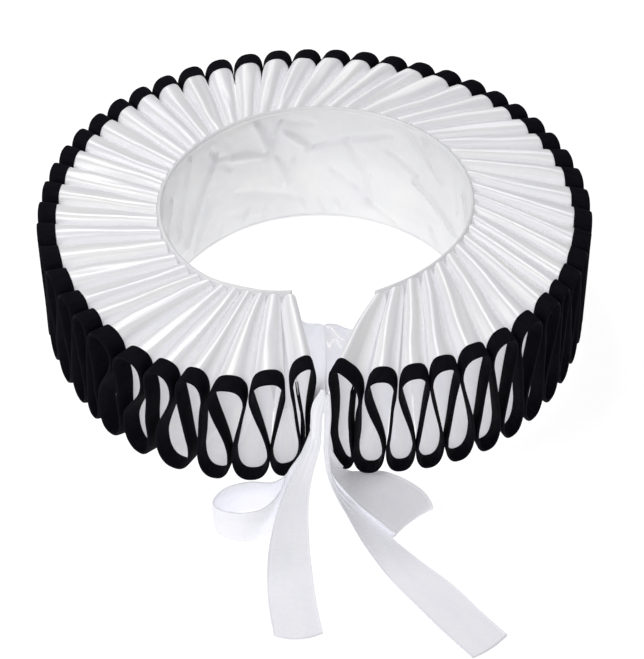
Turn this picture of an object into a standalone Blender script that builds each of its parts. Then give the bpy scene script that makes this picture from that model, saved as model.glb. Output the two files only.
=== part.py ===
"""Ruff collar: a pleated satin ruff with a dark bound edge, on a neck band closed by ribbon ties.

The collar stands on the bottom edge of its neck band, opening towards -Y, +Z up.
The pleats run as a figure-of-eight: one strip goes over the top loops and under the bottom loops by
turns, and every line from the band to the outer edge is straight.
"""

import math
from collections import namedtuple

import bmesh
import bpy
from mathutils import Vector

MM = 0.001

# --- Driving dimensions, in millimetres and degrees -------------------------------------------

RING_CENTRE = (-0.6, 39.3)     # middle of the neck, so that the whole collar's box is centred

BAND_HEIGHT = 65.0             # neck band, from the surface it stands on to its rolled top edge
BAND_WALL = 1.2
BAND_FLARE = 2.4               # the band's foot is this much further out than its top
BAND_STATIONS = 56
HEM_DEPTH = 6.0                # folded hem along the band's foot
HEM_WALL = 2.0
HEM_STEP = 1.0                 # height in which the hem thins to the wall
ROLL_RADIUS = 1.0              # rolled top edge
ROLL_DEGREES = (-55, -10, 35, 90, 145, 190, 235)   # places round the roll

SATIN_WALL = 1.0
BINDING_WALL = 1.4
BINDING_WIDTH = 8.2            # dark binding, measured in from the outer edge
SEAM_GAP = 0.3                 # between pieces that are sewn together
BORDER_GAP = 0.5               # the same along a pleat, whose walls are not square to its border
FACET_ALLOWANCE = 0.3          # what the flats of a round wall and slanting pleat ends take of a gap
LOOP_GAP = 0.4                 # between neighbouring loops where they nearly touch
INNER_TOP = 64.2               # the pleats' ends at the band, a little inside its two edges
INNER_BOTTOM = 1.8
TURN_DEGREES = (200, 163, 127, 90, 53, 17, -20)   # places round each turn of the strip
TURN_ASPECT = 2.0              # depth of a turn, in halves of its width
TOP_TURN_DEPTH = 9.0           # and at most this deep
BOTTOM_TURN_DEPTH = 12.6
TURN_SQUARENESS = 1.25         # 1 for an ellipse, more for flatter tops

RIBBON_WALL = 1.0
RIBBON_STEPS = 4               # stations between two rows of a ribbon's table
KNOT_SIDES = 12

# The top loops, counted clockwise seen from above, from the left side of the front opening round to
# its right side. Angles are about the neck's middle, from +X towards +Y. Each loop's outer end lies
# further round than its inner end, because the pleats lean. Loops between two rows are spread evenly.
LOOP_COLUMNS = ("loop", "outer_deg", "inner_deg", "edge_radius", "neck_radius", "edge_top", "edge_bottom")
LOOP_TABLE = (
    (0, -92.3, -99.0, 111.4, 63.8, 67.0, 11.3),
    (1, -99.6, -105.0, 116.8, 65.2, 63.2, 11.3),
    (2, -107.2, -109.8, 120.5, 66.2, 60.4, 10.8),
    (3, -114.9, -114.8, 121.5, 66.8, 61.2, 10.4),
    (4, -121.3, -119.5, 121.5, 67.6, 59.8, 9.2),
    (5, -127.8, -124.2, 121.0, 68.6, 58.8, 8.8),
    (6, -136.5, -129.5, 120.5, 69.3, 60.6, 9.6),
    (8, -148.8, -141.2, 119.3, 69.2, 62.4, 11.3),
    (12, -180.2, -171.0, 118.0, 67.6, 62.6, 11.3),
    (16, -207.3, -199.0, 118.8, 66.9, 62.6, 11.3),
    (20, -234.7, -225.5, 120.0, 67.2, 62.6, 11.3),
    (24, -262.3, -251.0, 120.0, 69.2, 62.6, 11.3),
    (28, -289.4, -276.5, 120.0, 70.3, 62.6, 11.3),
    (32, -316.6, -303.0, 119.6, 70.8, 62.6, 11.3),
    (36, -342.9, -330.0, 119.0, 70.8, 62.6, 11.3),
    (40, -372.5, -357.5, 119.4, 70.2, 63.0, 11.3),
    (44, -398.2, -381.6, 121.0, 69.3, 66.0, 10.0),
    (46, -411.1, -393.6, 121.0, 68.4, 65.4, 8.9),
    (48, -424.6, -406.4, 119.0, 67.9, 63.2, 10.0),
    (49, -430.5, -413.2, 117.5, 67.9, 61.8, 11.0),
    (50, -437.4, -420.6, 115.3, 68.0, 61.8, 11.3),
    (51, -444.8, -427.4, 112.2, 68.4, 64.5, 11.3),
)
LOOP_COUNT = 52
PLACE_TOLERANCE = 1e-6         # in loops

# The strip's two ends turn back under the last top loop and stop inside it. Each has its values at
# the band and at the outer edge: the turn's centre, half width and the free end's lean in loops, and
# its lowest point; the free end stops at one height.
StripEnd = namedtuple("StripEnd", "centre half lean bottom stop")
LEFT_END = StripEnd((-0.13, -0.08), (0.105, 0.075), (0.10, 0.14), (12.0, 20.0), 54.0)
RIGHT_END = StripEnd((51.09, 50.95), (0.15, 0.17), (-0.03, -0.04), (3.5, 13.4), 55.0)

# Loops that sit unevenly: place -> centre and half width at the band, the same at the outer edge
# (in loops, None where the usual width is kept) and how far one side of the turn rises there, in mm
UNEVEN_LOOPS = {
    0.0: ((0.045, 0.40), (0.0, 0.33), -1.5),
    0.5: ((0.51, 0.38), (0.49, 0.385), 0.0),
    1.0: ((1.0, None), (0.94, 0.42), 0.0),
    1.5: ((1.5, None), (1.39, 0.43), 0.0),
    2.0: ((2.0, None), (1.94, 0.42), 0.0),
    2.5: ((2.5, None), (2.34, 0.38), 0.0),
    3.0: ((3.0, None), (2.91, 0.35), 0.0),
    3.5: ((3.5, None), (3.53, 0.55), 0.0),
    4.0: ((4.0, None), (3.93, 0.47), 0.0),
    4.5: ((4.5, None), (4.85, 0.42), 0.0),
    5.5: ((5.5, None), (5.79, 0.37), 0.0),
    6.5: ((6.5, None), (6.58, 0.31), 0.0),
    42.0: ((42.0, None), (42.04, 0.45), 0.0),
    43.0: ((43.0, None), (42.97, 0.27), 0.0),
    44.0: ((44.0, None), (43.81, 0.41), 0.0),
    45.0: ((45.0, None), (44.92, 0.48), 0.0),
    45.5: ((45.5, None), (45.49, 0.41), 0.0),
    46.5: ((46.5, None), (46.44, 0.38), 0.0),
    47.5: ((47.5, None), (47.40, 0.42), 0.0),
    48.5: ((48.5, None), (48.41, 0.44), 0.0),
    49.5: ((49.5, None), (49.36, 0.38), 0.0),
    50.0: ((50.0, None), (49.97, 0.385), 0.0),
    50.5: ((50.40, 0.33), (50.26, 0.385), 0.0),
    51.0: ((50.97, 0.375), (50.88, 0.385), 4.0),
}

BAND_ENDS_DEG = (-98.2, -428.0)

# Ribbons: each row is a cross-section, from one edge of the ribbon to the other. Its columns are
# x, y, z of the first edge, then x, y, z of the second, measured from the neck's middle.
TIE_LEFT = (
    (-15.0, -59.5, 33.8, -15.0, -59.5, 50.8),
    (-10.4, -60.1, 33.8, -10.4, -60.1, 50.8),
    (-7.0, -61.8, 34.4, -6.8, -61.6, 50.6),
    (-5.6, -67.0, 36.6, -2.6, -64.2, 50.0),
    (-4.8, -73.0, 38.8, 2.4, -65.0, 50.0),
    (-3.8, -81.0, 41.0, 4.0, -73.0, 51.0),
    (-2.3, -90.0, 43.4, 4.0, -84.0, 52.2),
    (-0.3, -99.0, 45.2, 3.4, -97.0, 53.0),
    (1.5, -108.0, 46.2, 2.6, -107.0, 53.2),
    (2.2, -114.2, 46.6, 2.3, -114.2, 53.2),
)
TIE_RIGHT = (
    (29.8, -58.3, 27.5, 29.8, -58.3, 44.0),
    (26.1, -60.0, 27.5, 26.1, -60.0, 44.0),
    (21.4, -61.8, 28.0, 21.4, -61.7, 44.2),
    (16.0, -64.6, 30.0, 14.2, -62.9, 45.4),
    (11.5, -68.6, 33.0, 9.4, -64.0, 49.0),
    (9.0, -75.0, 36.5, 6.2, -68.0, 51.6),
    (7.6, -83.0, 40.0, 5.8, -76.0, 52.8),
    (6.4, -92.0, 43.0, 5.6, -87.0, 53.2),
    (5.3, -102.0, 45.4, 5.1, -99.0, 53.4),
    (3.9, -114.2, 46.6, 3.9, -114.2, 53.2),
)
TAIL_LEFT = (
    (-1.6, -119.5, 39.5, 1.2, -119.5, 39.5),
    (-4.4, -121.2, 33.6, 1.0, -121.2, 34.6),
    (-9.6, -126.6, 24.4, -1.8, -125.8, 24.0),
    (-14.8, -135.2, 15.4, -2.8, -134.0, 14.4),
    (-18.2, -144.6, 5.8, -2.6, -144.4, 5.0),
    (-19.2, -154.0, 1.0, -1.6, -155.0, 1.0),
    (-19.0, -164.0, 0.4, -0.6, -165.0, 0.4),
    (-18.2, -174.0, 0.4, 0.6, -175.0, 0.4),
    (-16.4, -186.0, 0.4, 2.2, -185.8, 0.4),
)
TAIL_RIGHT = (
    (1.8, -119.5, 39.5, 4.2, -119.5, 39.5),
    (3.6, -121.6, 31.0, 6.2, -121.2, 31.4),
    (5.4, -124.0, 20.5, 7.0, -123.4, 20.2),
    (8.0, -127.0, 13.6, 11.4, -124.6, 12.0),
    (12.4, -131.4, 6.8, 20.0, -127.0, 5.0),
    (18.6, -141.6, 1.6, 28.4, -139.2, 0.7),
    (27.8, -158.0, 0.4, 41.2, -150.4, 0.4),
    (38.8, -173.6, 0.4, 52.8, -162.6, 0.4),
    (48.4, -186.6, 0.4, 62.4, -175.6, 0.4),
    (58.2, -198.8, 0.4, 72.0, -187.8, 0.4),
)
BOW_LEFT = (
    (1.0, -115.7, 39.5, -1.4, -115.7, 39.5),
    (-2.2, -116.0, 26.5, -5.6, -115.8, 30.5),
    (-7.4, -117.2, 12.0, -11.6, -117.8, 23.6),
    (-15.4, -118.6, 2.2, -17.4, -120.6, 18.8),
    (-26.0, -120.6, 0.4, -26.5, -123.0, 17.4),
    (-35.6, -124.6, 0.4, -35.8, -126.8, 17.0),
    (-40.4, -131.0, 0.4, -40.0, -131.4, 17.0),
    (-37.6, -136.0, 0.4, -36.4, -136.2, 17.2),
    (-30.0, -138.4, 0.4, -27.8, -138.6, 17.6),
    (-20.6, -136.2, 0.8, -20.4, -134.4, 18.0),
    (-12.2, -130.2, 5.4, -15.0, -127.6, 19.6),
    (-6.2, -124.4, 15.0, -10.6, -123.0, 24.0),
    (-2.0, -120.4, 27.4, -5.4, -119.8, 30.6),
    (1.0, -117.6, 39.5, -1.4, -117.6, 39.5),
)
BOW_RIGHT = (
    (1.8, -117.6, 39.5, 4.2, -117.6, 39.5),
    (4.6, -119.2, 30.0, 8.0, -116.2, 28.0),
    (6.6, -121.6, 21.0, 10.8, -115.4, 14.8),
    (10.9, -125.0, 16.0, 18.0, -111.4, 8.4),
    (18.0, -127.2, 13.0, 27.4, -109.4, 8.6),
    (24.8, -132.8, 10.8, 36.4, -114.0, 9.2),
    (29.8, -137.4, 7.6, 43.6, -120.6, 8.6),
    (31.8, -139.2, 4.2, 46.8, -124.8, 4.6),
    (29.8, -137.6, 1.0, 44.0, -122.4, 0.9),
    (25.4, -131.4, 0.4, 38.0, -115.8, 0.4),
    (20.4, -122.0, 0.5, 28.6, -107.4, 0.6),
    (13.6, -117.8, 2.6, 17.6, -106.6, 3.4),
    (6.8, -118.2, 12.0, 7.6, -114.9, 14.0),
    (3.8, -117.2, 24.0, 6.2, -115.2, 27.0),
    (1.8, -115.7, 39.5, 4.2, -115.7, 39.5),
)

# The knot: rounded sections from its top down to where the ribbons come out
# Columns: height, x and y of the middle, half width, half depth
KNOT_TABLE = (
    (59.2, 3.4, -116.6, 0.7, 1.0),
    (57.6, 3.1, -117.0, 1.6, 2.0),
    (52.0, 2.4, -117.5, 2.5, 2.8),
    (46.0, 1.7, -117.7, 3.1, 3.0),
    (41.6, 1.4, -117.7, 3.3, 3.0),
    (39.9, 1.4, -117.7, 2.9, 2.8),
)

# Finishes: base colour, roughness
FINISHES = {
    "satin": ((0.86, 0.86, 0.89), 0.35),
    "binding": ((0.016, 0.015, 0.022), 0.85),
    "lining": ((0.84, 0.84, 0.86), 0.45),
    "ribbon": ((0.85, 0.85, 0.89), 0.60),
}

# --- Helpers ------------------------------------------------------------------------------------


def lerp(a, b, t):
    return a + (b - a) * t


def catmull(p0, p1, p2, p3, t):
    """Smooth value between p1 and p2."""
    return 0.5 * (2.0 * p1 + (p2 - p0) * t + (2.0 * p0 - 5.0 * p1 + 4.0 * p2 - p3) * t * t
                  + (3.0 * p1 - p0 - 3.0 * p2 + p3) * t ** 3)


def loop_value(column, u):
    """A column of the loop table at any place u along the strip, in loops."""
    index = LOOP_COLUMNS.index(column)
    rows = LOOP_TABLE
    i = 0
    while i < len(rows) - 2 and u > rows[i + 1][0]:
        i += 1
    (u0, v0), (u1, v1) = ((rows[j][0], rows[j][index]) for j in (i, i + 1))
    slope = []
    for j in (i, i + 1):
        before, after = rows[max(j - 1, 0)], rows[min(j + 1, len(rows) - 1)]
        slope.append((after[index] - before[index]) / (after[0] - before[0]))
    t = (u - u0) / (u1 - u0)
    if t <= 0.0:
        return v0 + slope[0] * (u - u0)
    if t >= 1.0:
        return v1 + slope[1] * (u - u1)
    span = u1 - u0
    return (v0 * (1 + 2 * t) * (1 - t) ** 2 + slope[0] * span * t * (1 - t) ** 2
            + v1 * t * t * (3 - 2 * t) + slope[1] * span * t * t * (t - 1))


def around(radius, degrees, height):
    """A point about the neck's middle, in metres."""
    angle = math.radians(degrees)
    x = RING_CENTRE[0] + radius * math.cos(angle)
    y = RING_CENTRE[1] + radius * math.sin(angle)
    return Vector((x * MM, y * MM, height * MM))


def material(name):
    colour, roughness = FINISHES[name]
    finish = bpy.data.materials.new(name)
    finish.use_nodes = True
    shader = finish.node_tree.nodes["Principled BSDF"]
    shader.inputs["Base Color"].default_value = (*colour, 1.0)
    shader.inputs["Roughness"].default_value = roughness
    shader.inputs["Metallic"].default_value = 0.0
    finish.diffuse_color = (*colour, 1.0)
    return finish


def add_object(name, mesh, collection, finish):
    part = bpy.data.objects.new(name, mesh)
    mesh.materials.append(finish)
    collection.objects.link(part)
    return part


def add_sheet(name, rows, wall, collection, finish):
    """Cloth of one thickness, from rows of points across it, its middle on those points."""
    mesh = bpy.data.meshes.new(name)
    bm = bmesh.new()
    grid = [[bm.verts.new(point) for point in row] for row in rows]
    for row, following in zip(grid, grid[1:]):
        for i in range(len(row) - 1):
            bm.faces.new((row[i], row[i + 1], following[i + 1], following[i]))
    bm.to_mesh(mesh)
    bm.free()
    mesh.shade_smooth()
    part = add_object(name, mesh, collection, finish)
    solidify = part.modifiers.new("wall", "SOLIDIFY")
    solidify.thickness = wall * MM
    solidify.offset = 0.0
    solidify.use_even_offset = False
    return part


def add_loft(name, rings, collection, finish):
    """One closed body through closed sections, capped at both ends."""
    mesh = bpy.data.meshes.new(name)
    bm = bmesh.new()
    loops = [[bm.verts.new(point) for point in ring] for ring in rings]
    count = len(loops[0])
    for loop, following in zip(loops, loops[1:]):
        for i in range(count):
            j = (i + 1) % count
            bm.faces.new((loop[i], loop[j], following[j], following[i]))
    bm.faces.new(reversed(loops[0]))
    bm.faces.new(loops[-1])
    bmesh.ops.recalc_face_normals(bm, faces=bm.faces)
    bm.to_mesh(mesh)
    bm.free()
    return add_object(name, mesh, collection, finish)


# --- The pleated strip ----------------------------------------------------------------------------


def pitch(u, end):
    """Distance between neighbouring loops at the inner or the outer end of the pleats."""
    column, radius = (("inner_deg", "neck_radius"), ("outer_deg", "edge_radius"))[end]
    degrees = loop_value(column, u - 0.25) - loop_value(column, u + 0.25)
    return 2.0 * math.radians(degrees) * loop_value(radius, u)


def slant(u, end):
    """How much more room a wall takes round the ring, because its pleat leans off the radius."""
    lean = math.radians(loop_value("outer_deg", u) - loop_value("inner_deg", u))
    edge = loop_value("edge_radius", u)
    off_radius = math.atan2(edge * math.sin(lean), edge * math.cos(lean) - loop_value("neck_radius", u))
    return 1.0 / math.cos(off_radius - end * lean)


def half_width(u, end):
    """Half a loop's width, in loops, so that it just clears the next one."""
    wall = (SATIN_WALL, BINDING_WALL)[end] * slant(u, end)
    return 0.5 - (wall + LOOP_GAP) / (2.0 * pitch(u, end))


def loop_turn(u, end):
    """A top loop at a whole place, a bottom loop between two: its points at one end of the pleats."""
    *places, tilt = UNEVEN_LOOPS.get(u, ((u, None), (u, None), 0.0))
    centre, half = places[end]
    half = half or half_width(centre, end)
    if u == int(u):
        top = (INNER_TOP, loop_value("edge_top", u))[end]
        return turn_points(centre, half, top, 1.0, end, tilt * end)
    bottom = (INNER_BOTTOM, loop_value("edge_bottom", u))[end]
    return turn_points(centre, half, bottom, -1.0, end)


def turn_points(centre, half, extreme, sign, end, tilt=0.0):
    """One loop's points (place along the strip, height) at the inner (0) or outer (1) end."""
    most = TOP_TURN_DEPTH if sign > 0.0 else BOTTOM_TURN_DEPTH
    depth = min(most, TURN_ASPECT * half * pitch(centre, end))
    wall = (SATIN_WALL, BINDING_WALL)[end]
    middle = extreme - sign * (depth + wall / 2.0)
    points = []
    for degrees in TURN_DEGREES:
        aside, up = math.cos(math.radians(degrees)), math.sin(math.radians(degrees))
        if up > 0.0:
            aside = math.copysign(abs(aside) ** (1.0 / TURN_SQUARENESS), aside)
            up = up ** (1.0 / TURN_SQUARENESS)
        points.append((centre + half * aside, middle + sign * depth * up + tilt * aside))
    return points


def end_points(row, side, end):
    """The free end's turn, from where the strip stops; side is 1 at the left end, -1 at the right."""
    centre, half = row.centre[end], row.half[end]
    points = turn_points(centre, half, row.bottom[end], -1.0, end)[::-1]
    tip = (centre + side * half + row.lean[end], row.stop)
    return [tip] + points if side > 0 else points + [tip]


def strip_path(end):
    """The strip's whole meander at the inner (0) or outer (1) end of the pleats."""
    points = end_points(LEFT_END, 1, end)
    for step in range(2 * LOOP_COUNT - 1):
        points += loop_turn(step / 2.0, end)
    return points + end_points(RIGHT_END, -1, end)


def strip_lines():
    """The meander's straight lines, each from its point at the band to its point at the edge."""
    lines = []
    for (u_in, z_in), (u_out, z_out) in zip(strip_path(0), strip_path(1)):
        foot = BAND_FLARE * (1.0 - z_in / BAND_HEIGHT)
        neck = loop_value("neck_radius", u_in) + foot
        edge = loop_value("edge_radius", u_out)
        inner = around(neck, loop_value("inner_deg", u_in), z_in)
        outer = around(edge, loop_value("outer_deg", u_out), z_out)
        lines.append((inner, outer))
    return lines


def add_ruff(collection, satin, binding):
    """The satin pleats, and the dark binding that carries them on to the outer edge."""
    satin_rows = []
    binding_rows = []
    for inner, outer in strip_lines():
        run = (outer - inner).length
        border = 1.0 - BINDING_WIDTH * MM / run
        gap = BORDER_GAP * MM / run
        satin_rows.append((inner, inner.lerp(outer, border - gap)))
        binding_rows.append((inner.lerp(outer, border), outer))
    add_sheet("ruff", satin_rows, SATIN_WALL, collection, satin)
    add_sheet("edge_binding", binding_rows, BINDING_WALL, collection, binding)


# --- Neck band --------------------------------------------------------------------------------------


def band_profile():
    """The band's section, as (out from its middle, height): hem, wall and rolled top edge."""
    wall, hem = BAND_WALL / 2.0, HEM_WALL / 2.0
    roll_z = BAND_HEIGHT - ROLL_RADIUS
    points = [(hem, 0.0), (hem, HEM_DEPTH), (wall, HEM_DEPTH + HEM_STEP)]
    for degrees in ROLL_DEGREES:
        angle = math.radians(degrees)
        points.append((ROLL_RADIUS * math.cos(angle), roll_z + ROLL_RADIUS * math.sin(angle)))
    points += [(-wall, HEM_DEPTH + HEM_STEP), (-hem, HEM_DEPTH), (-hem, 0.0)]
    return [(out + BAND_FLARE * (1.0 - z / BAND_HEIGHT), z) for out, z in points]


def band_radius(degrees):
    """The band's middle at its top, just inside the pleats' ends."""
    low, high = 0.0, LOOP_COUNT - 1.0
    while high - low > PLACE_TOLERANCE:
        u = (low + high) / 2.0
        if loop_value("inner_deg", u) > degrees:
            low = u
        else:
            high = u
    return loop_value("neck_radius", low) - ROLL_RADIUS - SEAM_GAP - FACET_ALLOWANCE


def add_band(collection, finish):
    rings = []
    start, stop = BAND_ENDS_DEG
    profile = band_profile()
    for i in range(BAND_STATIONS + 1):
        degrees = lerp(start, stop, i / BAND_STATIONS)
        radius = band_radius(degrees)
        rings.append([around(radius + out, degrees, z) for out, z in profile])
    add_loft("neck_band", rings, collection, finish)


# --- Ribbons ----------------------------------------------------------------------------------------


def ribbon_rows(table):
    """Smooth cross-sections through a ribbon's table."""
    rows = []
    last = len(table) - 1
    for i in range(last):
        near = [table[max(0, min(last, j))] for j in (i - 1, i, i + 1, i + 2)]
        steps = RIBBON_STEPS + (1 if i == last - 1 else 0)
        for s in range(steps):
            t = s / RIBBON_STEPS
            x1, y1, z1, x2, y2, z2 = (catmull(*(row[c] for row in near), t) for c in range(6))
            rows.append((ribbon_point(x1, y1, z1), ribbon_point(x2, y2, z2)))
    return rows


def ribbon_point(x, y, z):
    lowest = RIBBON_WALL / 2.0
    place = Vector((x + RING_CENTRE[0], y + RING_CENTRE[1], max(z, lowest)))
    return place * MM


def add_knot(collection, finish):
    """The knot of the bow: a small rounded bundle."""
    rings = []
    for z, x, y, half_x, half_y in KNOT_TABLE:
        ring = []
        for i in range(KNOT_SIDES):
            angle = 2.0 * math.pi * i / KNOT_SIDES
            ring.append(ribbon_point(x + half_x * math.cos(angle), y + half_y * math.sin(angle), z))
        rings.append(ring)
    knot = add_loft("bow_knot", rings, collection, finish)
    knot.data.shade_smooth()


def main():
    for old in list(bpy.data.objects):
        bpy.data.objects.remove(old, do_unlink=True)
    collection = bpy.data.collections.new("ruff_collar")
    bpy.context.scene.collection.children.link(collection)
    satin, binding, lining, ribbon = (material(name) for name in FINISHES)
    add_band(collection, lining)
    add_ruff(collection, satin, binding)
    for name, table in (("tie_left", TIE_LEFT), ("tie_right", TIE_RIGHT), ("bow_left", BOW_LEFT),
                        ("bow_right", BOW_RIGHT), ("tail_left", TAIL_LEFT), ("tail_right", TAIL_RIGHT)):
        add_sheet(name, ribbon_rows(table), RIBBON_WALL, collection, ribbon)
    add_knot(collection, ribbon)


main()
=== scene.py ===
import math

import bmesh
import bpy
from mathutils import Matrix, Vector, noise


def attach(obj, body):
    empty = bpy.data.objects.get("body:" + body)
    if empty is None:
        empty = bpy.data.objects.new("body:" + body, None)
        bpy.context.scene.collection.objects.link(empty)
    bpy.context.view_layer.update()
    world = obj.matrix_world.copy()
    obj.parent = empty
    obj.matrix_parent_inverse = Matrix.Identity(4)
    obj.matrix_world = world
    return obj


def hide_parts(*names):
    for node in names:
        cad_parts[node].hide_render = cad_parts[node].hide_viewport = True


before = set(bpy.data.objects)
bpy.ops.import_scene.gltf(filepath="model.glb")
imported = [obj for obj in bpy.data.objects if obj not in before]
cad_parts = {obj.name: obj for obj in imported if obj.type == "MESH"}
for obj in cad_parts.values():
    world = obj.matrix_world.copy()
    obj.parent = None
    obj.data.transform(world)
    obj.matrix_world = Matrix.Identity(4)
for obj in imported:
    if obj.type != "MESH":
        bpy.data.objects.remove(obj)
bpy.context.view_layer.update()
mm = 0.001
neckMiddle = (-0.6, 39.3)      # where the neck's middle stands on the floor, mm
print("frame loaded")


def between(a, b, t):
    return a + (b - a) * t


def ease(start, stop, x):
    # 0 at start and 1 at stop, soft at both
    t = min(1.0, max(0.0, (x - start) / (stop - start)))
    return t * t * (3.0 - 2.0 * t)


def wander(*place):
    # slow unevenness of handwork, between about -1 and 1
    return noise.noise(Vector((list(place) + [0.0, 0.0])[:3]))


def curve(p0, p1, p2, p3, t):
    # from p1 to p2, in line with the neighbours of both
    return 0.5 * (2.0 * p1 + (p2 - p0) * t + (2.0 * p0 - 5.0 * p1 + 4.0 * p2 - p3) * t * t
                  + (3.0 * p1 - p0 - 3.0 * p2 + p3) * t ** 3)


def rowValues(rows, place):
    # a smooth run through a table's rows, at any place along it
    i = min(int(place), len(rows) - 2)
    near = [rows[max(0, min(len(rows) - 1, j))] for j in (i - 1, i, i + 1, i + 2)]
    return [curve(*(row[c] for row in near), place - i) for c in range(len(rows[0]))]


def around(radius, degrees, height):
    angle = math.radians(degrees)
    x = neckMiddle[0] + radius * math.cos(angle)
    y = neckMiddle[1] + radius * math.sin(angle)
    return Vector((x * mm, y * mm, height * mm))


# A flat grid of cloth is cut, each of its points is put in place, and the wall gets its thickness
def sewSheet(name, alongCount, acrossCount, place, cut, wall, finish):
    bm = bmesh.new()
    layer = bm.loops.layers.uv.new("cloth")
    bmesh.ops.create_grid(bm, x_segments=alongCount, y_segments=acrossCount, size=0.5,
                          calc_uvs=True)
    for vert in bm.verts:
        i = round((vert.co.x + 0.5) * alongCount)
        j = round((vert.co.y + 0.5) * acrossCount)
        vert.co = place(i, j)
    for face in bm.faces:
        for corner in face.loops:
            u, v = corner[layer].uv
            corner[layer].uv = (u * cut[1] / mm, v * cut[0] / mm)   # millimetres on the cloth
    return makePiece(name, bm, finish, wall)


def makePiece(name, bm, finish, wall=0.0):
    mesh = bpy.data.meshes.new(name)
    bm.to_mesh(mesh)
    bm.free()
    mesh.shade_smooth()
    mesh.materials.append(finish)
    piece = bpy.data.objects.new(name, mesh)
    bpy.context.scene.collection.objects.link(piece)
    if wall:
        shell = piece.modifiers.new("wall", "SOLIDIFY")
        shell.thickness = wall * mm
        shell.offset = 0.0
        shell.use_even_offset = False
    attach(piece, "root")
    return piece


# Finishes. Tones are the scale of a soft cloud on the cloth and the two colours it drifts between;
# relief rows stack: a pattern, its scale, its strength and its depth in millimetres. On the cloth
# the glow is painted light: an even emission that lifts its shaded parts, such as the insides of
# loops, in place of the light that thin white cloth passes on from its other side and of fill
# light.
# On the floor the same glow only keeps the floor evenly white.

satinLook = {
    "colour": (0.76, 0.76, 0.79),
    "sockets": {"Roughness": 0.46, "Metallic": 0.20, "Specular IOR Level": 1.0,
                "Anisotropic": 0.86, "Anisotropic Rotation": 0.25},   # sheen along the pleats
    # painted light: an even glow that lifts the satin's shaded loop insides and crevices
    "paintedGlowAndFloorLight": ((0.97, 0.97, 1.0), 0.20),
    "tones": ((0.22, 0.02, 1.0), (0.73, 0.73, 0.77), (0.80, 0.795, 0.78)),
    "relief": (("cloud", (0.7, 0.05, 1.0), 0.3, 0.3), ("thread", (1.6, 0.0, 1.0), 0.05, 0.05)),
}

bindingLook = {
    "colour": (0.005, 0.0045, 0.008),
    "sockets": {"Roughness": 0.9, "Specular IOR Level": 0.09},
    "tones": ((0.3, 0.3, 1.0), (0.0027, 0.0024, 0.005), (0.0056, 0.005, 0.0088)),
    "relief": (("twill", (1.4, 1.4, 1.0), 0.25, 0.1), ("cloud", (0.4, 0.4, 1.0), 0.2, 0.2)),
}

liningLook = {
    "colour": (0.80, 0.80, 0.82),
    "sockets": {"Roughness": 0.32, "Specular IOR Level": 0.6},
    # painted light: a faint even glow that lifts the band's shaded inside
    "paintedGlowAndFloorLight": ((0.98, 0.98, 0.99), 0.06),
    "tones": ((0.05, 0.05, 1.0), (0.78, 0.78, 0.80), (0.83, 0.83, 0.83)),
    "relief": (("crumple", (0.25, 0.25, 1.0), 0.25, 0.3), ("thread", (1.8, 0.0, 1.0), 0.06, 0.05)),
}

ribbonLook = {
    "colour": (0.82, 0.82, 0.86),
    "sockets": {"Roughness": 0.55, "Sheen Weight": 0.1},
    # painted light: an even glow that brightens the ribbons where they lie in shade
    "paintedGlowAndFloorLight": ((0.95, 0.95, 1.0), 0.165),
    "tones": ((0.08, 0.3, 1.0), (0.81, 0.81, 0.86), (0.85, 0.85, 0.89)),
    "relief": (("thread", (1.0, 0.0, 1.0), 0.4, 0.10), ("rib", (0.0, 2.2, 1.0), 0.08, 0.05)),
}

threadLook = {
    "colour": (0.93, 0.91, 0.88),
    "sockets": {"Roughness": 0.5},
    # painted light: a glow that keeps the stitches light against the shaded tie
    "paintedGlowAndFloorLight": ((1.0, 0.98, 0.95), 0.28),
}

floorLook = {
    "colour": (0.25, 0.25, 0.25),
    "sockets": {"Roughness": 0.9},
    # an even glow that keeps the floor white and lights the pieces from below
    "paintedGlowAndFloorLight": ((1.0, 1.0, 1.0), 0.89),
}


weaves = {"thread": "X", "rib": "Y", "twill": "DIAGONAL"}     # which way the bands of each lie
clouds = {"cloud": 2.0, "crumple": 4.0}                       # how much detail each has
toneStops = (0.3, 0.7)


def clothPattern(tree, kind, scale):
    place = tree.nodes.new("ShaderNodeUVMap")
    place.uv_map = "cloth"
    mapping = tree.nodes.new("ShaderNodeMapping")
    mapping.inputs["Scale"].default_value = scale
    tree.links.new(place.outputs["UV"], mapping.inputs["Vector"])
    if kind in weaves:
        pattern = tree.nodes.new("ShaderNodeTexWave")
        pattern.wave_type = "BANDS"
        pattern.bands_direction = weaves[kind]
        pattern.inputs["Scale"].default_value = math.pi / 10.0     # one band a unit
    else:
        pattern = tree.nodes.new("ShaderNodeTexNoise")
        pattern.inputs["Scale"].default_value = 1.0
        pattern.inputs["Detail"].default_value = clouds[kind]
    tree.links.new(mapping.outputs["Vector"], pattern.inputs["Vector"])
    return pattern.outputs["Fac"]


def mixTones(tree, shader, scale, *colours):
    ramp = tree.nodes.new("ShaderNodeValToRGB")
    for stop, position, colour in zip(ramp.color_ramp.elements, toneStops, colours):
        stop.position = position
        stop.color = (*colour, 1.0)
    tree.links.new(clothPattern(tree, "cloud", scale), ramp.inputs["Fac"])
    tree.links.new(ramp.outputs["Color"], shader.inputs["Base Color"])


def raiseRelief(tree, shader, rows):
    below = None
    for kind, scale, strength, depth in rows:
        bump = tree.nodes.new("ShaderNodeBump")
        bump.inputs["Strength"].default_value = strength
        bump.inputs["Distance"].default_value = depth * mm
        tree.links.new(clothPattern(tree, kind, scale), bump.inputs["Height"])
        if below:
            tree.links.new(below.outputs["Normal"], bump.inputs["Normal"])
        below = bump
    tree.links.new(below.outputs["Normal"], shader.inputs["Normal"])


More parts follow.
